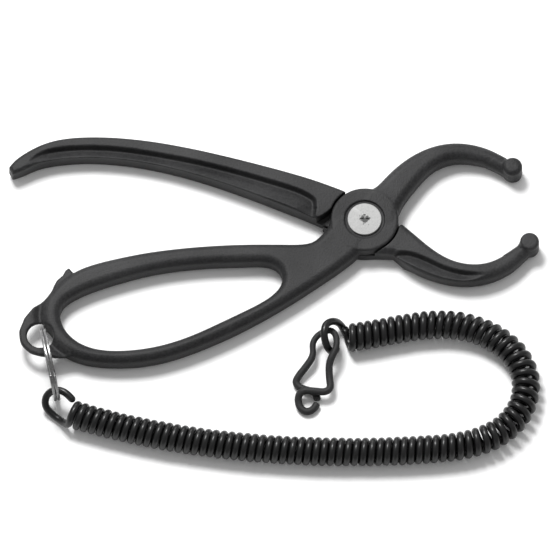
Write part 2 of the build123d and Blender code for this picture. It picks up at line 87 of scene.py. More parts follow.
LOOP_OUTER = [
    (-15.4, 1.6), (-17.0, -2.9), (-20.4, -7.4), (-23.8, -10.2), (-28.0, -11.3), (-34.84, -11.52),
    (-46.26, -11.44), (-57.43, -11.57), (-68.61, -12.08), (-79.8, -12.96), (-90.88, -14.2),
    (-101.57, -15.85), (-111.84, -18.02), (-121.99, -20.6), (-130.3, -23.6), (-137.0, -27.6),
    (-142.6, -32.8), (-146.6, -39.0), (-148.0, -46.0), (-146.9, -53.4), (-143.2, -60.2),
    (-137.0, -65.6), (-128.3, -69.1), (-116.69, -70.5), (-103.0, -70.0), (-89.56, -67.17),
    (-75.08, -61.83), (-60.52, -55.01), (-46.2, -47.03), (-32.09, -38.06), (-18.12, -28.28),
    (-6.8, -19.6), (-2.2, -15.4)]
LOOP_INNER = [
    (-37.86, -27.71), (-38.94, -24.41), (-41.01, -22.16), (-44.72, -20.68), (-53.17, -20.41),
    (-66.63, -20.88), (-79.48, -21.8), (-91.62, -23.42), (-103.4, -25.97), (-115.28, -29.5),
    (-126.66, -33.68), (-134.84, -37.99), (-138.62, -41.42), (-139.88, -44.36), (-139.75, -48.67),
    (-137.7, -53.81), (-133.79, -58.32), (-128.11, -61.78), (-120.88, -63.72), (-111.25, -64.08),
    (-100.53, -62.95), (-89.91, -60.41), (-79.35, -56.47), (-68.02, -51.05), (-55.85, -44.83),
    (-46.24, -39.43), (-40.5, -34.65), (-38.24, -30.94)]
CATCH_TOOTH = [
    (-131.5, -27.0), (-134.4, -26.6), (-134.3, -25.4), (-136.0, -23.4), (-137.6, -24.6),
    (-138.8, -27.0), (-141.6, -29.6), (-143.1, -32.6), (-144.0, -36.6), (-140.0, -38.0),
    (-132.0, -31.0)]
TAB_WEB = [
    (-143.6, -35.6), (-147.6, -39.4), (-152.6, -43.4), (-156.6, -48.6), (-158.7, -55.0),
    (-157.6, -61.0), (-153.4, -65.3), (-148.6, -67.2), (-143.0, -68.1), (-137.6, -68.1),
    (-134.0, -67.2), (-138.0, -61.0), (-143.0, -52.0), (-143.5, -43.0)]
FRONT_TIP = [
    (56.0, 35.6), (62.0, 33.4), (66.6, 31.2), (69.6, 30.4), (68.1, 26.5), (66.4, 22.4),
    (62.6, 25.0), (56.0, 28.4)]
REAR_TIP = [
    (67.0, -23.4), (71.6, -19.6), (76.6, -15.2), (79.6, -12.6), (75.9, -10.6), (73.0, -7.0),
    (70.4, -11.8), (64.0, -16.4)]
LOWER_PLATE = [
    (-3.96, -15.43), (13.06, -15.68), (18.0, -20.3), (26.0, -24.0), (20.0, -8.0), (4.0, 0.0),
    (-8.0, -6.0), (-19.6, -1.0), (-12.0, -10.2)]
# +Y edges of the scooped channels, running towards +X
HANDLE_RIM = [
    (-158.0, 27.0), (-152.0, 32.2), (-144.0, 35.3), (-134.0, 36.6), (-122.0, 36.7),
    (-107.0, 35.3), (-91.4, 32.6), (-78.0, 29.8), (-65.1, 26.5), (-52.0, 22.7), (-40.0, 18.9),
    (-29.5, 15.1), (-24.4, 12.2), (-21.8, 9.2), (-22.0, 6.8)]
JAW_RIM = [
    (12.6, -16.4), (16.3, -15.6), (20.0, -15.7), (25.0, -17.2), (31.0, -20.0), (37.0, -22.9),
    (43.9, -25.0), (53.0, -25.9), (58.0, -25.6)]
# Centre line of the coil, from the ring end to the clip end
LANYARD_AXIS = [
    (-134.6, -94.55), (-121.58, -98.51), (-108.41, -101.95), (-95.12, -104.9), (-81.74, -107.36),
    (-68.28, -109.37), (-54.76, -110.95), (-41.2, -112.11), (-27.61, -112.88), (-14.01, -113.28),
    (-0.4, -113.32), (13.21, -112.98), (26.8, -112.24), (40.34, -110.97), (53.53, -107.71),
    (65.19, -100.84), (72.72, -89.68), (73.91, -76.27), (68.08, -64.15), (57.54, -55.67),
    (44.78, -51.08), (31.23, -50.33), (17.74, -52.07), (4.4, -54.77), (-9.01, -57.08),
    (-16.0, -58.2)]

# Wire centre lines: x, y, z in mm
CORD_EYE = [
    (-134.6, -88.9, 11.2), (-138.2, -85.7, 11.7), (-142.6, -84.4, 10.5), (-146.1, -85.9, 7.9),
    (-146.7, -89.4, 4.7), (-143.9, -92.6, 2.3), (-139.8, -96.0, 2.3)]
CLIP_FRAME = [
    (-22.08, -87.85, 1.8), (-23.92, -90.35, 1.8), (-26.77, -91.3, 1.8), (-29.53, -89.35, 1.95),
    (-30.5, -86.0, 2.8), (-29.75, -83.5, 4.3), (-27.78, -82.45, 5.2), (-25.12, -82.45, 5.35),
    (-21.44, -82.8, 5.35), (-18.3, -82.85, 5.35), (-16.15, -81.5, 5.45), (-15.95, -77.95, 5.7),
    (-16.28, -73.64, 6.6), (-16.01, -69.61, 8.2), (-14.54, -66.13, 9.4), (-13.06, -62.35, 9.5),
    (-12.88, -58.73, 8.9), (-13.71, -55.25, 7.9), (-15.55, -53.34, 7.1), (-17.57, -53.27, 6.8)]
CLIP_GATE = [
    (-18.4, -53.67, 6.7), (-20.24, -54.62, 6.6), (-22.63, -56.89, 6.3), (-23.83, -59.9, 5.9),
    (-23.74, -63.27, 5.4), (-24.66, -66.69, 4.9), (-26.22, -69.07, 4.4), (-28.3, -71.7, 3.7),
    (-30.75, -74.9, 2.7), (-31.45, -77.2, 2.0), (-29.7, -79.3, 1.8), (-26.73, -80.55, 1.8),
    (-24.01, -81.45, 1.8), (-22.36, -82.85, 1.8), (-22.0, -84.1, 1.8), (-21.9, -85.2, 1.8)]


def smooth_curve(points, count, closed=False):
    """Natural cubic spline through the points, sampled evenly by arc length."""
    p = np.array(points, float)
    if closed:
        p = np.vstack([p[-3:], p, p[:4]])
    knots = np.r_[0, np.cumsum(np.linalg.norm(np.diff(p, axis=0), axis=1))]
    size = len(p)
    gap = np.diff(knots)
    # solve for the second derivatives
    matrix = np.zeros((size, size))
    target = np.zeros((size, p.shape[1]))
    matrix[0, 0] = matrix[-1, -1] = 1.0
    for i in range(1, size - 1):
        matrix[i, i - 1:i + 2] = gap[i - 1], 2 * (gap[i - 1] + gap[i]), gap[i]
        target[i] = 6 * ((p[i + 1] - p[i]) / gap[i] - (p[i] - p[i - 1]) / gap[i - 1])
    second = np.linalg.solve(matrix, target)
    start, end = (knots[3], knots[-4]) if closed else (knots[0], knots[-1])

    def at(t):
        k = np.clip(np.searchsorted(knots, t, side="right") - 1, 0, size - 2)
        w0 = ((knots[k + 1] - t) / gap[k])[:, None]
        w1 = ((t - knots[k]) / gap[k])[:, None]
        bend = (w0 ** 3 - w0) * second[k] + (w1 ** 3 - w1) * second[k + 1]
        return w0 * p[k] + w1 * p[k + 1] + bend * gap[k][:, None] ** 2 / 6

    params = np.linspace(start, end, 4000)
    length = np.r_[0, np.cumsum(np.linalg.norm(np.diff(at(params), axis=0), axis=1))]
    even = np.linspace(0, length[-1], count, endpoint=not closed)
    return at(np.interp(even, length, params))


FRONT_JAW = np.vstack([smooth_curve(FRONT_JAW_OUTER, 60), [(-4, 8), (4, -6)],
                       smooth_curve(FRONT_JAW_INNER, 60)])
REAR_HANDLE = np.vstack([smooth_curve(REAR_HANDLE_TOP, 70), smooth_curve(REAR_HANDLE_BOTTOM, 70),
                         [(-19.6, -0.4), (-6, -6), (4, 4)]])
REAR_JAW = np.vstack([smooth_curve(REAR_JAW_OUTER, 50), smooth_curve(REAR_JAW_INNER, 50),
                      [(6, 4), (-6, -6), (-3.5, -15.2)]])
FRONT_LOOP = np.vstack([smooth_curve(LOOP_OUTER, 150), [(3, -4), (-4, 6)]])
LOOP_HOLE = smooth_curve(LOOP_INNER, 110, closed=True)


# ---------------------------------------------------------------------------
# Distance fields, in mm, negative inside
# ---------------------------------------------------------------------------
def to_segment(px, py, start, end):
    """Segment direction, offset from its start, and squared distance to it."""
    ex, ey = end[0] - start[0], end[1] - start[1]
    wx, wy = px - start[0], py - start[1]
    t = np.clip((wx * ex + wy * ey) / max(ex * ex + ey * ey, 1e-12), 0, 1)
    dx, dy = wx - ex * t, wy - ey * t
    return ex, ey, wx, wy, dx * dx + dy * dy


def polygon_distance(px, py, polygon):
    """Signed distance to a closed polygon."""
    polygon = np.asarray(polygon, float)
    best = np.full(px.shape, 1e9)
    inside = np.zeros(px.shape, bool)
    for (ax, ay), (bx, by) in zip(polygon, np.roll(polygon, -1, axis=0)):
        squared = to_segment(px, py, (ax, ay), (bx, by))[-1]
        np.minimum(best, squared, out=best)
        if ay != by:
            crosses = (ay > py) != (by > py)
            inside ^= crosses & (px < (bx - ax) * (py - ay) / (by - ay) + ax)
    distance = np.sqrt(best)
    return np.where(inside, -distance, distance)


def line_side_distance(px, py, line):
    """Distance to an open polyline, positive on its right going first to last."""
    best = np.full(px.shape, 1e9)
    side = np.zeros(px.shape)
    for start, end in zip(line[:-1], line[1:]):
        ex, ey, wx, wy, squared = to_segment(px, py, start, end)
        near = squared < best
        best = np.where(near, squared, best)
        side = np.where(near, -(ex * wy - ey * wx), side)
    return np.sqrt(best) * np.where(side >= 0, 1, -1)


def smooth_min(a, b, blend):
    h = np.clip(0.5 + 0.5 * (b - a) / blend, 0, 1)
    return b + (a - b) * h - blend * h * (1 - h)


def smooth_max(a, b, blend):
    return -smooth_min(-a, -b, blend)


def cut_away(body, tool):
    return np.maximum(body, -tool)


def slab(plan, z, bottom, top, edge):
    """Prism over a plan distance, its edges rounded. bottom and top may vary over the plan."""
    middle = np.asarray((bottom + top) / 2)[..., None]
    half = np.asarray((top - bottom) / 2)[..., None]
    qx = plan[..., None] + edge
    qz = np.abs(z - middle) - (half - edge)
    outside = np.sqrt(np.maximum(qx, 0) ** 2 + np.maximum(qz, 0) ** 2)
    return np.minimum(np.maximum(qx, qz), 0) + outside - edge


def ease(start, end, x):
    """Smooth step from 0 at start to 1 at end; end may be the smaller."""
    t = np.clip((x - start) / (end - start), 0, 1)
    return t * t * (3 - 2 * t)


# ---------------------------------------------------------------------------
# Meshes
# ---------------------------------------------------------------------------
STEP = 0.38  # voxel size
FIELD_BAND = 2.0  # distances are clipped to this


def grid(x_range, y_range):
    """The sample positions on each axis, and the plan's x and y at each sample."""
    axes = [np.arange(*ends, STEP) for ends in (x_range, y_range, (-1.2, 13.4))]
    return axes, *np.meshgrid(axes[0], axes[1], indexing="ij")


def add_mesh(name, points, faces):
    """An object from points in mm. Quads and triangles are smooth, larger end faces flat."""
    mesh = bpy.data.meshes.new(name)
    mesh.from_pydata((np.array(points) * MM).tolist(), [], faces)
    mesh.validate()
    mesh.update()
    obj = bpy.data.objects.new(name, mesh)
    scene.collection.objects.link(obj)
    for face in mesh.polygons:
        face.use_smooth = len(face.vertices) <= 4
    return obj


def field_mesh(name, field, axes):
    """Closed smooth surface of a distance field."""
    volume = vdb.FloatGrid(FIELD_BAND)
    volume.copyFromArray(np.clip(field, -FIELD_BAND, FIELD_BAND).astype(np.float32))
    points, tris, quads = volume.convertToPolygons(isovalue=0.0, adaptivity=0.0)
    points = points * STEP + np.array([axis[0] for axis in axes])
    faces = [tuple(int(v) for v in face[::-1]) for group in (quads, tris) for face in group]
    return add_mesh(name, points, faces)


def sweep(name, path, section, radius=1.0, cap=0.0, up=None, swell=None):
    """A section swept along a path as one closed mesh.

    cap is how far the rounded ends reach, as a share of radius; 0 leaves them cut square.
    swell scales the section at each point of the path.
    """
    path = np.asarray(path, float)
    along = np.gradient(path, axis=0)
    along /= np.linalg.norm(along, axis=1)[:, None]
    if up is None:
        # rotation-minimising frame, started off any axis of the path
        across_x = np.zeros_like(path)
        first = np.cross(along[0], (0.13, 0.21, 0.97))
        across_x[0] = first / np.linalg.norm(first)
        for i in range(1, len(path)):
            v = across_x[i - 1] - along[i] * np.dot(across_x[i - 1], along[i])
            across_x[i] = v / np.linalg.norm(v)
    else:
        across_x = np.cross(np.broadcast_to(up, along.shape), along)
        across_x /= np.linalg.norm(across_x, axis=1)[:, None]
    across_y = np.cross(along, across_x)
    scales = np.ones(len(path)) if swell is None else swell
    stations = list(zip(path, scales, across_x, across_y))
    if cap:
        reach = radius * cap
        for angle in map(math.radians, (30, 55, 75)):
            shrink = 1 - cap * (1 - math.cos(angle))
            out = reach * math.sin(angle)
            stations.insert(0, (path[0] - along[0] * out, shrink * scales[0],
                                across_x[0], across_y[0]))
            stations.append((path[-1] + along[-1] * out, shrink * scales[-1],
                             across_x[-1], across_y[-1]))
    points = [centre + (u * x + v * y) * scale
              for centre, scale, u, v in stations for x, y in section]
    around = len(section)
    faces = []
    for i in range(len(stations) - 1):
        row, after = i * around, (i + 1) * around
        for k in range(around):
            k2 = (k + 1) % around
            faces.append((row + k, row + k2, after + k2, after + k))
    faces.append(tuple(range(around))[::-1])
    faces.append(tuple((len(stations) - 1) * around + k for k in range(around)))
    return add_mesh(name, points, faces)


def tube(name, path, radius, around=14, cap=1.0, swell=None):
    angle = np.linspace(0, 2 * math.pi, around, endpoint=False)
    section = np.c_[np.cos(angle), np.sin(angle)] * radius
    return sweep(name, path, section, radius, cap, swell=swell)


# ---------------------------------------------------------------------------
# Levers
# ---------------------------------------------------------------------------
LEVER_TOP = 12.0
LAP = LEVER_TOP / 2  # height where the levers cross, front one above
LAP_GAP = 0.06  # from the lap to each lever's cut face
BOSS_GAP = 0.05  # from the lap to each lever's round plate
BORE_R = 4.2
TURN_R = 16.4  # round clearance about the pivot
TURN_GAP = 0.4  # clearance around the other lever
TURN_ANGLES = (-14.6, -6.0, 2.0, 10.0, 21.6)  # rear lever against the front one, degrees
FRONT_POST = (68.1, 26.6)
REAR_POST = (75.9, -10.6)
EYELET = (-149.2, -57.2)
EYELET_R = 6.1
TAB_R = 9.4


def jaw_arm(gx, gy, z, outline, tip, post_distance, edge):
    """A jaw that thins towards the post at its tip."""
    plan = smooth_min(polygon_distance(gx, gy, outline), polygon_distance(gx, gy, tip), blend=1.0)
    near = ease(34, 4, post_distance)
    return slab(plan, z, bottom=0.9 * near, top=LEVER_TOP - 1.7 * near, edge=edge)


def add_post(body, z, distance, radius):
    post = slab(distance - radius, z, bottom=-0.1, top=LEVER_TOP + 0.4, edge=2.2)
    return smooth_min(body, post, blend=1.3)


def turning_room(gx, gy, angles, outlines, reach):
    """Plan of what the other lever's outlines pass over, out to reach from the pivot."""
    near = np.hypot(gx, gy) < reach + 3.6
    x, y = gx[near], gy[near]
    room = np.hypot(x, y) - TURN_R
    for angle in angles:
        c, s = math.cos(math.radians(angle)), math.sin(math.radians(angle))
        for outline in outlines:
            turned = polygon_distance(x * c + y * s, -x * s + y * c, outline)
            room = np.minimum(room, turned - TURN_GAP)
    plan = np.full(gx.shape, 5.0)  # anything beyond the field's band
    plan[near] = np.maximum(room, np.hypot(x, y) - reach)
    return plan[..., None]


def front_lever():
    axes, gx, gy = grid((-162, 76), (-74, 42))
    z = axes[2]
    loop = polygon_distance(gx, gy, FRONT_LOOP)
    loop = cut_away(loop, polygon_distance(gx, gy, LOOP_HOLE))
    pivot = np.hypot(gx, gy)
    post = np.hypot(gx - FRONT_POST[0], gy - FRONT_POST[1])
    eyelet = np.hypot(gx - EYELET[0], gy - EYELET[1])

    arm = jaw_arm(gx, gy, z, FRONT_JAW, FRONT_TIP, post, edge=3.9)
    bar = slab(loop, z, bottom=0.0, top=LEVER_TOP, edge=3.6)
    boss = slab(pivot - 15.6, z, bottom=LAP + BOSS_GAP, top=LEVER_TOP, edge=1.0)
    body = smooth_min(smooth_min(arm, bar, blend=1.2), boss, blend=0.7)
    body = add_post(body, z, post, radius=4.45)
    tooth = polygon_distance(gx, gy, CATCH_TOOTH)
    body = smooth_min(body, slab(tooth, z, bottom=2.2, top=10.6, edge=0.9), blend=0.8)

    # tab around the eyelet, with a shallow valley between it and the bar
    tab = smooth_min(polygon_distance(gx, gy, TAB_WEB), eyelet - TAB_R, blend=1.5)
    tab_top = 11.5 - 1.5 * np.exp(-((loop - 1.6) / 1.9) ** 2)
    body = smooth_min(body, slab(tab, z, bottom=8.5, top=tab_top, edge=1.2), blend=0.7)
    body = smooth_max(body, -(eyelet[..., None] - EYELET_R), blend=1.0)

    # underside cut away where the rear lever turns
    room = turning_room(gx, gy, TURN_ANGLES, (REAR_HANDLE, REAR_JAW, LOWER_PLATE), reach=34.4)
    body = cut_away(body, np.maximum(room, z - (LAP + LAP_GAP)))
    # dish in the top, and bore
    body = cut_away(body, np.maximum(pivot[..., None] - 9.3, 11.1 - z))
    body = cut_away(body, pivot[..., None] - BORE_R)
    return field_mesh("front_lever_skin", body, axes)


def scoop(body, z, rim, length, depth, wall, width, least, reach):
    """A channel in the top: a steep wall at the rim, and a floor that climbs away from it.

    rim is the distance from the rim, length fades the channel's ends, and least is the
    share of the depth that stays where the floor has climbed.
    """
    climb = np.clip(1 - (rim - wall) / width, least, 1)
    dip = depth * ease(-0.3, wall, rim) * climb * length
    dip = np.where(rim > reach, 0, dip)
    return smooth_max(body, z - (LEVER_TOP - dip)[..., None], blend=0.35)


def rear_lever():
    axes, gx, gy = grid((-167, 84), (-34, 45))
    z = axes[2]
    pivot = np.hypot(gx, gy)
    post = np.hypot(gx - REAR_POST[0], gy - REAR_POST[1])
    plate_top = LAP - BOSS_GAP

    arm = jaw_arm(gx, gy, z, REAR_JAW, REAR_TIP, post, edge=3.6)
    # the handle has crisp shoulders, and thins a little at its tip
    tip = ease(-140, -164, gx)
    handle = polygon_distance(gx, gy, REAR_HANDLE)
    bar = slab(handle, z, bottom=tip, top=LEVER_TOP - tip, edge=1.9)
    plate = slab(pivot - 15.7, z, bottom=0.0, top=plate_top, edge=0.8)
    body = smooth_min(smooth_min(arm, bar, blend=1.0), plate, blend=0.6)
    body = add_post(body, z, post, radius=4.4)
    under = slab(polygon_distance(gx, gy, LOWER_PLATE), z, bottom=0.0, top=plate_top, edge=0.6)
    body = smooth_min(body, under, blend=0.6)

    # channels along the handle and the jaw
    body = scoop(body, z, line_side_distance(gx, gy, smooth_curve(HANDLE_RIM, 90)),
                 length=ease(-160, -140, gx) * ease(-20.5, -24.5, gx),
                 depth=3.3, wall=1.5, width=9.0, least=0.06, reach=22)
    body = scoop(body, z, line_side_distance(gx, gy, smooth_curve(JAW_RIM, 60)),
                 length=ease(60, 44, gx) * ease(9.0, 13.0, gx) * (gy < -8),
                 depth=3.0, wall=1.4, width=8.0, least=0.0, reach=16)

    # top half cut away where the front lever turns
    angles = [-angle for angle in TURN_ANGLES]
    room = turning_room(gx, gy, angles, (FRONT_LOOP, FRONT_JAW), reach=26.6)
    body = cut_away(body, np.maximum(room, LAP - LAP_GAP - z))
    # bore, and recess in the underside
    body = cut_away(body, pivot[..., None] - BORE_R)
    body = cut_away(body, np.maximum(pivot[..., None] - 8.2, z - 1.4))
    return field_mesh("rear_lever_skin", body, axes)


# ---------------------------------------------------------------------------
# Lanyard: an eye in the split ring, a long coil, and an end turn for the clip
# ---------------------------------------------------------------------------
CORD_R = 1.70
COIL_R = 4.95
COIL_PITCH = 3.62
COIL_Z = COIL_R + CORD_R + 0.02
EYE_END_TURN = 0.375  # where the eye hands over to the coil
SPLIT_TURN = 50.5  # where the two lanyard pieces meet
LAST_TURN = 85.0
TURN_SEGMENTS = 26
# the end turn's ellipse
END_CENTRE = np.array([-15.4, -56.7, 7.5])
END_SIDE = np.array([0.02, -0.955, -0.29])
END_UP = np.array([-0.5, -0.09, 0.86])
END_SIDE_R = 6.6
END_UP_R = 6.3

axis = smooth_curve(LANYARD_AXIS, 6001)
tangent = np.gradient(axis, axis=0)
tangent /= np.linalg.norm(tangent, axis=1)[:, None]
steps = np.linalg.norm(np.diff(axis, axis=0), axis=1)
before, after = tangent[:-1], tangent[1:]
bends = np.arctan2(before[:, 0] * after[:, 1] - before[:, 1] * after[:, 0],
                   (before * after).sum(1))
# turns wound up to each axis point; in left bends the pitch is kept on the inner side
TURNS = np.r_[0, np.cumsum((steps - np.maximum(bends, 0) * COIL_R) / COIL_PITCH)]


def coil(turn):
    turn = np.atleast_1d(turn)
    centre, along = (np.stack([np.interp(turn, TURNS, line[:, k]) for k in (0, 1)], 1)
                     for line in (axis, tangent))
    along /= np.linalg.norm(along, axis=1)[:, None]
    left = np.stack([-along[:, 1], along[:, 0]], 1)
    phi = np.pi - 2 * np.pi * turn
    # looseness: a little drift of radius and place along the coil
    radius = COIL_R + 0.05 * np.sin(turn * 1.7) + 0.04 * np.sin(turn * 0.61 + 1.0)
    drift = 0.06 * np.sin(turn * 2.3)
    xy = centre + left * (radius * np.cos(phi))[:, None] + along * drift[:, None]
    return np.c_[xy, COIL_Z + radius * np.sin(phi)]


def end_turn(turns):
    """The last turn, easing from the coil's circle to the tilted end ellipse."""
    start = coil(LAST_TURN)[0]
    heading = start - coil(LAST_TURN - 1)[0]
    heading[2] = 0
    heading /= np.linalg.norm(heading)
    coil_centre = np.array([start[0], start[1], COIL_Z])
    coil_side = np.array([-heading[1], heading[0], 0])
    points = []
    for turn in turns:
        e = ease(0.0, 0.4, turn)
        centre = (coil_centre + heading * (turn * 3.6 * (1 - e))) * (1 - e) + END_CENTRE * e
        side = coil_side * (1 - e) + END_SIDE * e
        side /= np.linalg.norm(side)
        up = np.array([0, 0, 1.0]) * (1 - e) + END_UP * e
        up /= np.linalg.norm(up)
        phi = 1.5 * math.pi - 2 * math.pi * turn
        points.append(centre + side * math.cos(phi) * (COIL_R * (1 - e) + END_SIDE_R * e)
                      + up * math.sin(phi) * (COIL_R * (1 - e) + END_UP_R * e))
    return np.array(points)


def nearest(path, point):
    return np.linalg.norm(path - point, axis=1).argmin()


def lanyard():
    eye = smooth_curve(np.vstack([CORD_EYE, coil(np.arange(0, 1.01, 0.125))]), 240)
    eye = eye[:nearest(eye, coil(EYE_END_TURN)[0])]
    near_turns = np.arange(EYE_END_TURN, SPLIT_TURN + 1e-6, 1 / TURN_SEGMENTS)
    far_turns = np.arange(SPLIT_TURN, LAST_TURN, 1 / TURN_SEGMENTS)
    near_path = np.vstack([eye, coil(near_turns)])
    far_path = np.vstack([coil(far_turns), end_turn(np.linspace(0, 0.88, 40))])
    return tube("lanyard_near", near_path, CORD_R), tube("lanyard_far", far_path, CORD_R)


# ---------------------------------------------------------------------------
# Split ring: a flat wire wound twice
# ---------------------------------------------------------------------------
RING_CENTRE = np.array([-144.65, -74.3, 17.06])
RING_R = 16.05
RING_HEADING = math.radians(-79.05)  # of its plane, seen from above
RING_LEAN = math.radians(4.4)  # off the vertical
RING_START = math.radians(62)
RING_SWEEP = 4 * math.pi - math.radians(10)
RING_OFFSET = 0.79  # of each winding from the ring's middle plane
RING_HALF_X, RING_HALF_Y, RING_CORNER = 0.93, 0.74, 0.5  # the wire's section


def split_ring():
    flat = np.array([math.cos(RING_HEADING), math.sin(RING_HEADING), 0])
    level = np.array([flat[1], -flat[0], 0])
    vertical = np.array([0, 0, 1.0])
    rise = vertical * math.cos(RING_LEAN) + level * math.sin(RING_LEAN)
    normal = level * math.cos(RING_LEAN) - vertical * math.sin(RING_LEAN)
    angle = np.linspace(RING_START, RING_START + RING_SWEEP, 420)
    # the wire crosses from one winding to the other halfway along
    side = RING_OFFSET * (2 * ease(0.44, 0.56, np.linspace(0, 1, 420)) - 1)
    circle = np.outer(np.cos(angle), flat) + np.outer(np.sin(angle), rise)
    path = RING_CENTRE + RING_R * circle + np.outer(side, normal)
    section = []
    for sign_x, sign_y, start in ((1, 1, 0), (-1, 1, 90), (-1, -1, 180), (1, -1, 270)):
        for degrees in range(0, 91, 18):
            q = math.radians(start + degrees)
            section.append((sign_x * (RING_HALF_X - RING_CORNER) + RING_CORNER * math.cos(q),
                            sign_y * (RING_HALF_Y - RING_CORNER) + RING_CORNER * math.sin(q)))
    return sweep("split_ring_wire", path, section, up=normal)


# ---------------------------------------------------------------------------
# Clip: one wire in three pieces, with the arch between frame and gate
# ---------------------------------------------------------------------------
CLIP_R = 1.45
CLIP_CAP = 0.45


def clip():
    """The three pieces, and the two points where the arch meets the others."""
    frame_path = smooth_curve(CLIP_FRAME, 420)
    gate_path = smooth_curve(CLIP_GATE, 300)
    path = smooth_curve(np.vstack([frame_path[::14], gate_path[4::14]]), 900)
    start = nearest(path, frame_path[-40])
    end = nearest(path, gate_path[46])
    # thicker in the legs and hooks than in the arch, which runs through the end turn
    swell = 1 + 0.18 * ease(-61.5, -68.5, path[:, 1])
    fixed = tube("clip_frame_wire", path[:start + 1], CLIP_R, around=20, cap=CLIP_CAP,
                 swell=swell[:start + 1])
    arch = tube("clip_arch_wire", path[start - 1:end + 2], CLIP_R * 0.999, around=20, cap=0.0)
    gate = tube("clip_gate_wire", path[end:], CLIP_R, around=20, cap=CLIP_CAP, swell=swell[end:])
    return fixed, arch, gate, path[start], path[end]


lanyard_near, lanyard_far = lanyard()
clip_fixed, clip_arch, clip_spring, arch_start, arch_end = clip()
front = front_lever()
rear = rear_lever()
ring = split_ring()


# ---------------------------------------------------------------------------
# Materials
# ---------------------------------------------------------------------------
def grey(value):
    return (value, value, value)


def feed(node, inputs):
    """Links the inputs given as sockets, and sets the others."""
    for key, value in inputs.items():
        if isinstance(value, bpy.types.NodeSocket):
            node.id_data.links.new(value, node.inputs[key])
        else:
            node.inputs[key].default_value = value


def add_node(tree, kind, inputs, operation=None):
    node = tree.nodes.new("ShaderNode" + kind)
    if operation:
        node.operation = operation
    feed(node, inputs)
    return node


def noise(tree, place, **settings):
    return add_node(tree, "TexNoise", {"Vector": place, **settings}).outputs["Fac"]


def mottle(tree, broad, fine, dark, base):
    """Dark to base colour over a mix of the broad and fine noise."""
    blend = add_node(tree, "Math", {0: broad, 1: 0.45}, "MULTIPLY_ADD")
    fine_share = add_node(tree, "Math", {0: fine, 1: 0.55}, "MULTIPLY")
    feed(blend, {2: fine_share.outputs[0]})
    ramp = add_node(tree, "ValToRGB", {0: blend.outputs[0]})
    for stop, position, colour in zip(ramp.color_ramp.elements, (0.32, 0.68), (dark, base)):
        stop.position = position
        stop.color = (*colour, 1)
    return ramp.outputs[0]


def worn_edges(tree, colour, broad, wear, wear_colour):
    geometry = tree.nodes.new("ShaderNodeNewGeometry")
    edge = add_node(tree, "MapRange", {"From Min": 0.52, "From Max": 0.60,
                                       "Value": geometry.outputs["Pointiness"]})
    patchy = add_node(tree, "Math", {0: edge.outputs[0], 1: broad}, "MULTIPLY")
    amount = add_node(tree, "Math", {0: patchy.outputs[0], 1: wear}, "MULTIPLY")
    return add_node(tree, "MixRGB", {0: amount.outputs[0], 1: colour,
                                     2: (*wear_colour, 1)}).outputs[0]


def painted_socket_shade(tree, colour, place, radius):
    """A small ragged dark spot around the object's Z axis, painted shade where the screw head's
    socket recess lies; radius in metres.
    """
    parts = add_node(tree, "SeparateXYZ", {0: place}).outputs
    flat = add_node(tree, "CombineXYZ", {"X": parts["X"], "Y": parts["Y"]})
    distance = add_node(tree, "VectorMath", {0: flat.outputs[0]}, "LENGTH").outputs["Value"]
    ragged = noise(tree, place, Scale=800.0)
    grown = add_node(tree, "Math", {0: ragged, 1: 0.006, 2: distance}, "MULTIPLY_ADD")
    pick = add_node(tree, "MapRange", {
        "From Min": radius + 0.0024, "From Max": radius + 0.0034,
        "To Min": 0.9, "To Max": 0.0, "Value": grown.outputs[0]})
    return add_node(tree, "MixRGB", {0: pick.outputs[0], 1: colour,
                                     2: (*grey(0.03), 1)}).outputs[0]


def material(name, base, dark, rough, rough_spread, grain_scale, bump, bump_scale,
             wear, wear_colour, metallic=0.0, spec=0.5, coat=0.0, socket_shade_radius=0.0):
    """Mottled surface with worn edges and a fine grain.

    grain_scale sets the fine colour and roughness noise, bump_scale the bump noise, and
    the last argument is the radius of a dark centre spot of painted socket shade, 0 for none.
    """
    mat = bpy.data.materials.new(name)
    mat.use_nodes = True
    tree = mat.node_tree
    tree.nodes.clear()
    output = tree.nodes.new("ShaderNodeOutputMaterial")
    bsdf = tree.nodes.new("ShaderNodeBsdfPrincipled")
    feed(output, {0: bsdf.outputs[0]})
    place = tree.nodes.new("ShaderNodeTexCoord").outputs["Object"]
    broad = noise(tree, place, Scale=38.0, Detail=4.0)
    fine = noise(tree, place, Scale=grain_scale, Detail=5.0, Roughness=0.65)
    colour = mottle(tree, broad, fine, dark, base)
    colour = worn_edges(tree, colour, broad, wear, wear_colour)
    # painted shade: a dark centre spot standing in for the shaded socket recess of a screw head
    if socket_shade_radius:
        colour = painted_socket_shade(tree, colour, place, socket_shade_radius)
    roughness = add_node(tree, "MapRange", {
        "To Min": rough - rough_spread, "To Max": rough + rough_spread, "Value": fine})
    grain = noise(tree, place, Scale=bump_scale, Detail=3.0)
    bumps = add_node(tree, "Bump", {"Strength": bump, "Distance": 0.0003, "Height": grain})
    feed(bsdf, {
        "Base Color": colour, "Roughness": roughness.outputs[0], "Metallic": metallic,
        "Specular IOR Level": spec, "Coat Weight": coat, "Coat Roughness": 0.12,
        "Normal": bumps.outputs[0]})
    return mat


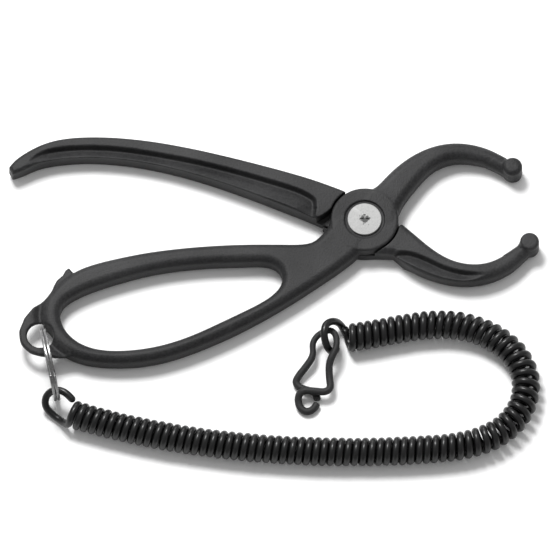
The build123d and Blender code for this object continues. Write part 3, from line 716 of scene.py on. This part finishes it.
lever_mat = material(
    "lever_plastic", base=(0.034, 0.034, 0.035), dark=(0.004, 0.004, 0.0043),
    rough=0.52, rough_spread=0.14, grain_scale=1000.0, bump=0.55, bump_scale=1500.0,
    wear=0.35, wear_colour=grey(0.06), spec=0.20)
# the pivot metal carries a dark centre spot, painted shade for the screw's socket recess
pivot_mat = material(
    "pivot_metal", base=(0.36, 0.36, 0.355), dark=grey(0.20),
    rough=0.55, rough_spread=0.10, grain_scale=1500.0, bump=0.25, bump_scale=2200.0,
    wear=0.3, wear_colour=grey(0.6), metallic=0.4, spec=0.3, socket_shade_radius=0.0021)
ring_mat = material(
    "ring_metal", base=grey(0.30), dark=grey(0.10),
    rough=0.30, rough_spread=0.08, grain_scale=1100.0, bump=0.08, bump_scale=1600.0,
    wear=0.2, wear_colour=grey(0.5), metallic=1.0)
cord_mat = material(
    "cord", base=(0.006, 0.006, 0.0065), dark=grey(0.003),
    rough=0.36, rough_spread=0.06, grain_scale=700.0, bump=0.10, bump_scale=1200.0,
    wear=0.1, wear_colour=grey(0.02), spec=0.33, coat=0.10)
clip_mat = material(
    "clip_plastic", base=(0.030, 0.030, 0.031), dark=(0.012, 0.012, 0.0125),
    rough=0.56, rough_spread=0.08, grain_scale=1500.0, bump=0.35, bump_scale=2000.0,
    wear=0.5, wear_colour=grey(0.07), spec=0.22)

for mat, slot, pieces in (
        (lever_mat, "lever_plastic", (front, rear)),
        (ring_mat, "ring_metal", (ring,)),
        (cord_mat, "cord", (lanyard_near, lanyard_far)),
        (clip_mat, "clip_plastic", (clip_fixed, clip_arch, clip_spring))):
    for piece in pieces:
        piece.data.materials.append(mat)
for name in ("pivot_barrel", "pivot_screw"):
    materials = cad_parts[name].data.materials
    materials.clear()
    materials.append(pivot_mat)


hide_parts("front_lever")
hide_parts("rear_lever")
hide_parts("split_ring")
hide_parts("coil_ring_end", "coil_middle")
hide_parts("coil_clip_end")
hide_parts("clip_frame")
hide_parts("clip_gate")
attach(front, "front")
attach(rear, "rear")
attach(ring, "ring")
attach(clip_fixed, "clip")
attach(clip_spring, "gate")
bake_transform(lanyard_near)
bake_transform(lanyard_far)
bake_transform(clip_arch)

# ---------------------------------------------------------------------------
# Floor, light and camera, in metres
# ---------------------------------------------------------------------------
LIGHT_AIM = (-0.04, -0.02, 0)
CAMERA_TILT = math.radians(22)  # from straight down
CAMERA_DISTANCE = 0.9
VIEW_WIDTH = 0.253


def add_floor():
    bpy.ops.mesh.primitive_plane_add(size=6, location=(0, 0, -0.0002))
    floor = bpy.context.object
    floor.name = "floor"
    white = bpy.data.materials.new("floor_white")
    white.use_nodes = True
    feed(white.node_tree.nodes["Principled BSDF"], {
        "Base Color": (*grey(0.93), 1), "Roughness": 0.75, "Specular IOR Level": 0.2})
    floor.data.materials.append(white)


def add_world():
    """White surroundings, dimmer towards -Y and brighter towards +Y."""
    world = bpy.data.worlds.new("studio")
    scene.world = world
    world.use_nodes = True
    tree = world.node_tree
    direction = tree.nodes.new("ShaderNodeTexCoord").outputs["Generated"]
    parts = add_node(tree, "SeparateXYZ", {0: direction})
    strength = add_node(tree, "MapRange", {
        "From Min": -0.8, "From Max": 0.7, "To Min": 0.42, "To Max": 0.66,
        "Value": parts.outputs["Y"]})
    feed(tree.nodes["Background"], {0: (*grey(1.0), 1), 1: strength.outputs[0]})


def area_light(name, position, size_x, size_y, power):
    light = bpy.data.lights.new(name, "AREA")
    light.shape = "RECTANGLE"
    light.size = size_x
    light.size_y = size_y
    light.energy = power
    obj = bpy.data.objects.new(name, light)
    obj.location = position
    aim = Vector(LIGHT_AIM) - Vector(position)
    obj.rotation_euler = aim.to_track_quat("-Z", "Y").to_euler()
    scene.collection.objects.link(obj)


def add_camera():
    up = Vector((0, math.cos(CAMERA_TILT), math.sin(CAMERA_TILT)))
    forward = Vector((0, math.sin(CAMERA_TILT), -math.cos(CAMERA_TILT)))
    centre = Vector((-0.0412, 0, 0)) + up * -0.0212
    camera = bpy.data.cameras.new("camera")
    camera.type = "ORTHO"
    camera.ortho_scale = VIEW_WIDTH
    camera.clip_end = 10
    obj = bpy.data.objects.new("camera", camera)
    obj.location = centre - forward * CAMERA_DISTANCE
    obj.rotation_euler = (CAMERA_TILT, 0, 0)
    scene.collection.objects.link(obj)
    scene.camera = obj


add_floor()
scene.view_settings.view_transform = "Standard"
scene.view_settings.look = "None"
scene.view_settings.exposure = 0.0
add_world()
area_light("key", position=(-0.30, 0.50, 1.10), size_x=0.42, size_y=0.40, power=17.0)
area_light("rim", position=(-0.1, 0.9, 0.35), size_x=0.5, size_y=0.2, power=1.6)
add_camera()
